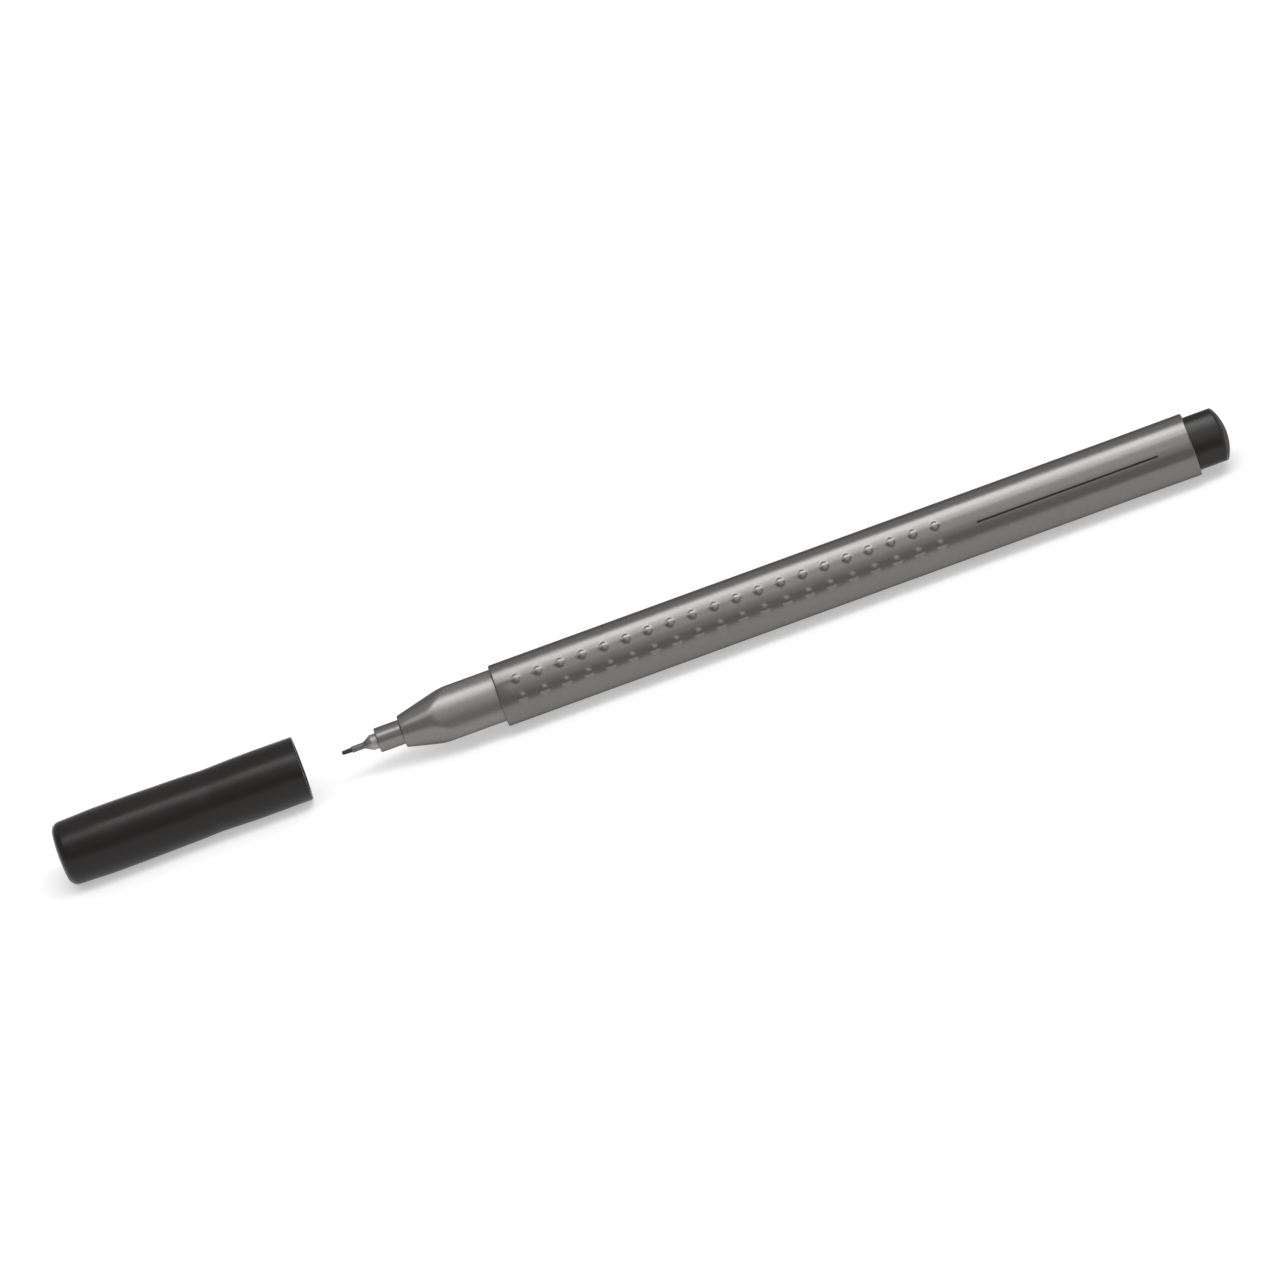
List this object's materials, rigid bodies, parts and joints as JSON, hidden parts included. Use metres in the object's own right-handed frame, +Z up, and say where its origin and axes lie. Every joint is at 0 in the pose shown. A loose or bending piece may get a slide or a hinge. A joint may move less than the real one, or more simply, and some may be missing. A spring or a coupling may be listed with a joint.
{
  "type": "fineliner pen",
  "caption": "Slim soft-triangular fineliner with raised grip dots, a metal-sleeved fibre nib, a domed end plug and a round, waisted cap that is pulled off and lies in line with the nib.",
  "frame": {"origin": "on the table, under the middle of the laid-out pen and cap", "axes": "+X along the pen from nib to rear, +Z up, one flat of the soft triangle facing down"},
  "size_m": [0.1864, 0.0104, 0.0105],
  "materials": {
    "silver_plastic": "satin metallic silver",
    "black_plastic": "satin black",
    "seal_plastic": "matte dark grey",
    "nib_metal": "drawn steel",
    "nib_fibre": "black, ink-stained",
    "reservoir_fibre": "fibre soaked with black ink",
    "clear_film": "thin clear film"
  },
  "bodies": {
    "pen": {"barrel": "silver_plastic", "front_section": "silver_plastic", "nib_sleeve": "nib_metal", "nib_core": "nib_fibre", "ink_reservoir": "reservoir_fibre", "reservoir_film": "clear_film", "rear_plug": "black_plastic"},
    "cap": {"cap_shell": "black_plastic", "cap_inner_seal": "seal_plastic"}
  },
  "joints": [
    {"name": "cap_slide", "type": "slide", "parent": "pen", "child": "cap", "axis": [1, 0, 0], "range_m": [0, 0.03125]}
  ]
}
